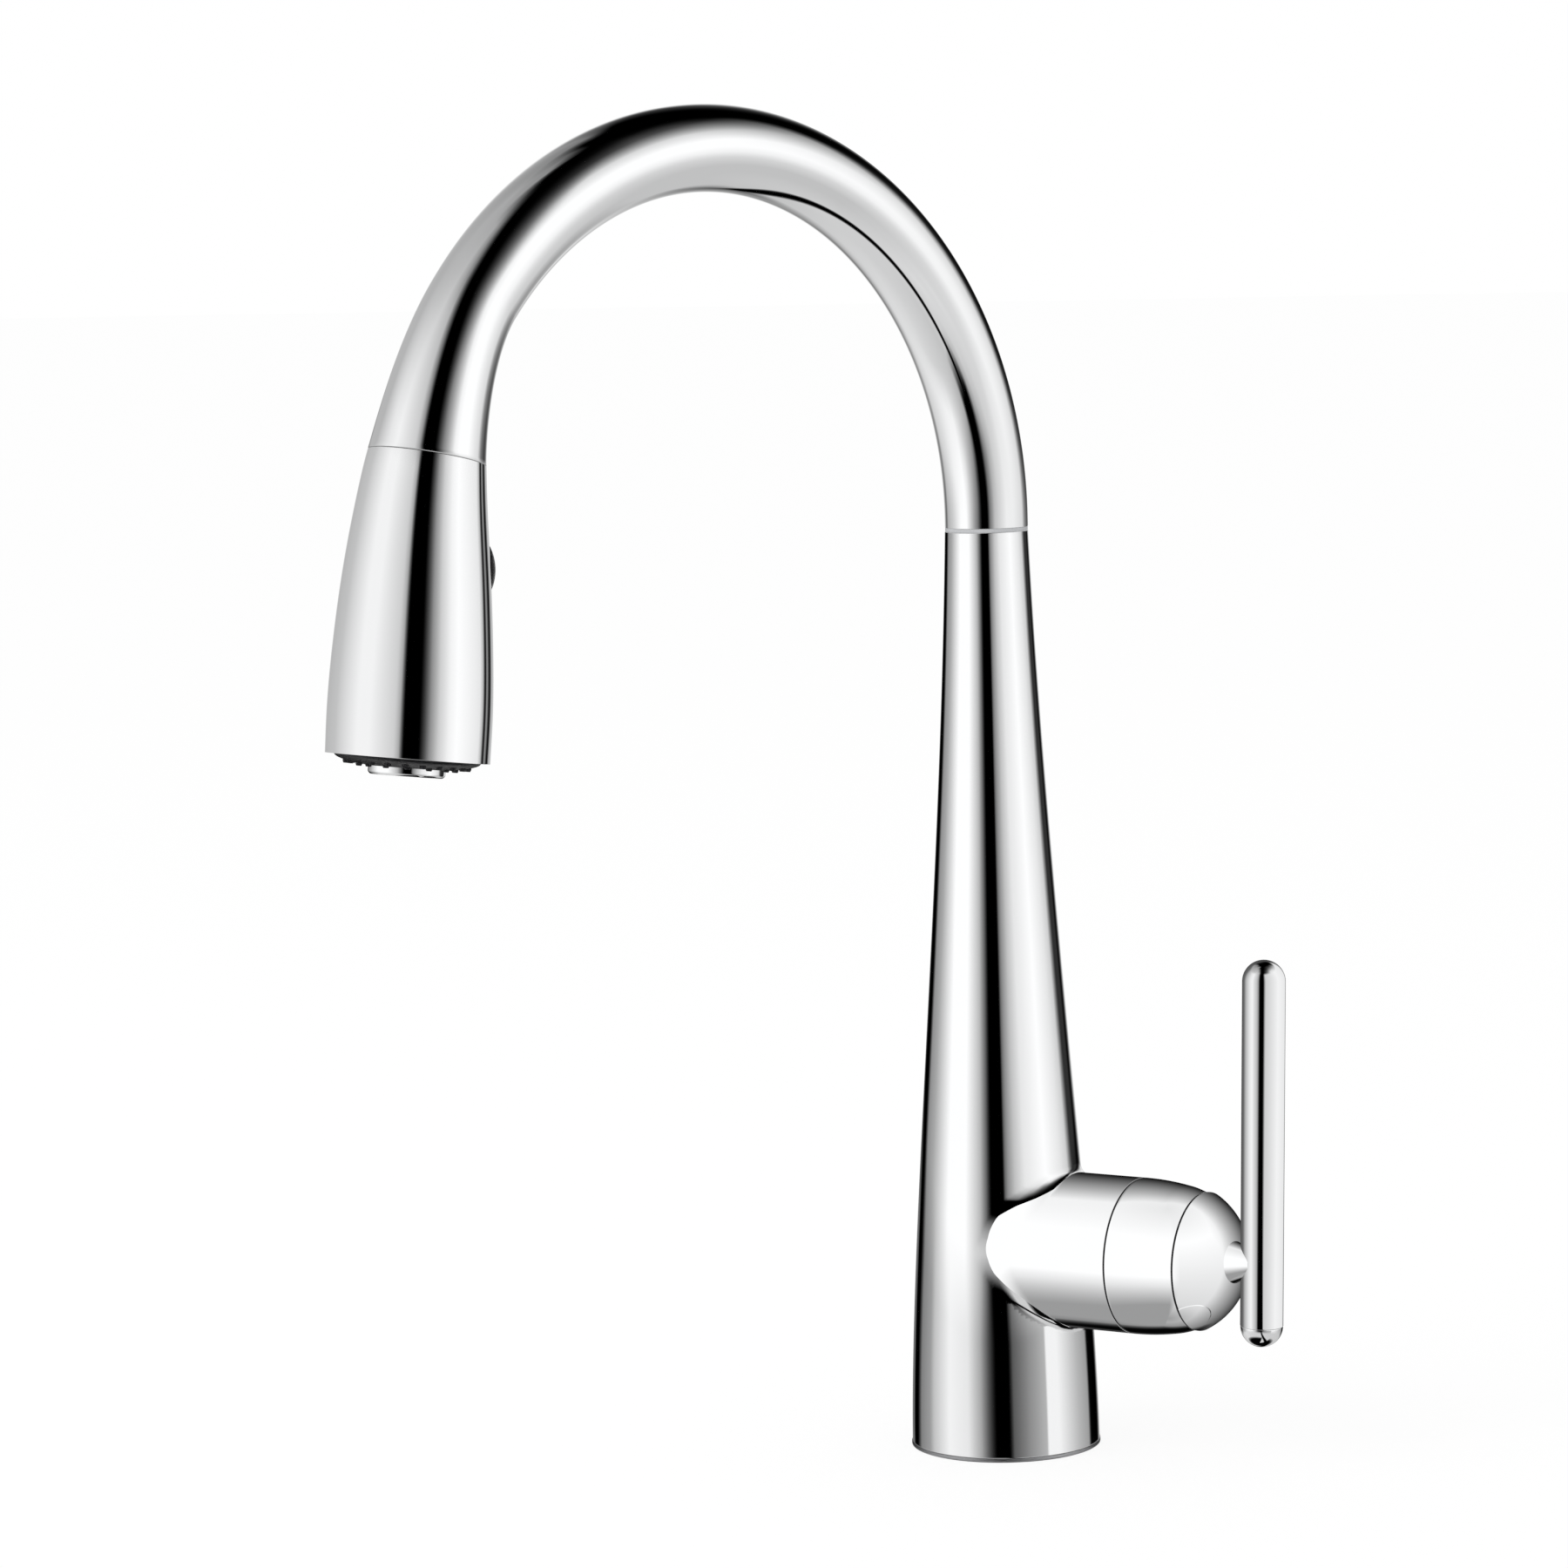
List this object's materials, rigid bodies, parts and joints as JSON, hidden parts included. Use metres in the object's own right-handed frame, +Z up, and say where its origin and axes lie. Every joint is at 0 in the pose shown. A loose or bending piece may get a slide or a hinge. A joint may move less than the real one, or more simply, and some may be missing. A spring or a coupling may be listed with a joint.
{
  "type": "pull down kitchen faucet",
  "caption": "Tall gooseneck kitchen tap with a tapered body, side ball-hub lever with an upright bar, and a pull-down spray head with a toggle button.",
  "frame": {"origin": "centre of the trim ring's underside, on the sink deck", "axes": "+Z up, +X along the valve hub to the handle, -Y towards the user; the spout is parked 15 degrees from -Y towards -X"},
  "size_m": [0.1683, 0.2547, 0.4825],
  "materials": {
    "polished_chrome": "mirror polished chrome plate",
    "brass": "machined",
    "copper": "drawn copper tube, dull",
    "steel": "plain stainless",
    "black_rubber": "matte",
    "grey_acetal": "smooth",
    "valve_plastic": "moulded",
    "alumina": "lapped",
    "black_plastic": "satin",
    "black_silicone": "satin",
    "waterway_plastic": "moulded",
    "braided_hose": "woven nylon braid over rubber"
  },
  "bodies": {
    "root": {"body_column": "polished_chrome", "shank": "brass", "trim_ring": "polished_chrome", "deck_gasket": "black_rubber", "clamp_gasket": "black_rubber", "clamp_washer": "steel", "mounting_nut": "brass", "jack_screws": "steel", "valve_manifold": "brass", "hot_inlet_tube": "copper", "hot_inlet_fitting": "brass", "cold_inlet_tube": "copper", "cold_inlet_fitting": "brass", "outlet_tube": "copper", "cartridge_housing": "valve_plastic", "cartridge_base": "valve_plastic", "port_seals": "black_rubber", "fixed_disc": "alumina", "cartridge_nut": "brass", "bonnet_ring": "polished_chrome", "upper_bush": "grey_acetal", "lower_bush": "grey_acetal", "swivel_ring": "grey_acetal", "pull_hose_lower": "braided_hose", "hose_connector": "brass"},
    "rotor": {"cartridge_rotor": "valve_plastic", "lever_pin": "steel"},
    "disc_group": {"moving_disc": "alumina", "disc_carrier": "valve_plastic"},
    "handle": {"lever_stem": "brass", "handle_dome": "polished_chrome", "handle_screw": "steel", "screw_plug": "polished_chrome", "handle_bar": "polished_chrome", "bar_foot": "polished_chrome", "handle_neck": "polished_chrome"},
    "spout": {"spout_tube": "polished_chrome", "spout_spigot": "brass", "spigot_o_rings": "black_rubber", "retaining_clip": "steel", "dock_insert": "black_plastic", "pull_hose_upper": "braided_hose"},
    "spray_head": {"spray_shell": "polished_chrome", "dock_collar": "black_plastic", "hose_ferrule": "brass", "hose_washer": "black_rubber", "check_valve": "valve_plastic", "spray_core": "waterway_plastic", "button_spring": "steel", "face_plate": "black_plastic", "spray_nozzles": "black_silicone", "aerator_ring": "polished_chrome", "aerator_screen": "steel"},
    "toggle": {"toggle_button": "black_plastic", "diverter_spool": "black_plastic"}
  },
  "joints": [
    {"name": "spout_swivel", "type": "hinge", "parent": "root", "child": "spout", "pos_m": [0, 0, 0.26], "axis": [0, 0, 1], "range_deg": [-180, 180]},
    {"name": "spray_pull", "type": "slide", "parent": "spout", "child": "spray_head", "axis": [-0.0604, -0.2255, -0.9724], "range_m": [0, 0.19], "stiffness_N_per_m": 8, "springref_m": -0.75},
    {"name": "spray_toggle", "type": "slide", "parent": "spray_head", "child": "toggle", "axis": [-0.6415, -0.7612, 0.0947], "range_m": [0, 0.0016], "stiffness_N_per_m": 600, "springref_m": -0.002, "deforming": ["button_spring"]},
    {"name": "handle_turn", "type": "hinge", "parent": "root", "child": "rotor", "pos_m": [0.05, 0, 0.0582], "axis": [1, 0, 0], "range_deg": [-45, 45]},
    {"name": "handle_lift", "type": "hinge", "parent": "rotor", "child": "handle", "pos_m": [0.055, 0, 0.0582], "axis": [0, 1, 0], "range_deg": [0, 22]},
    {"name": "disc_slide", "type": "slide", "parent": "rotor", "child": "disc_group", "axis": [0, 0, 1], "range_m": [0, 0.0047]}
  ],
  "couplings": [
    {"joint": "disc_slide", "follows": "handle_lift", "m_per_rad": 0.01187}
  ]
}
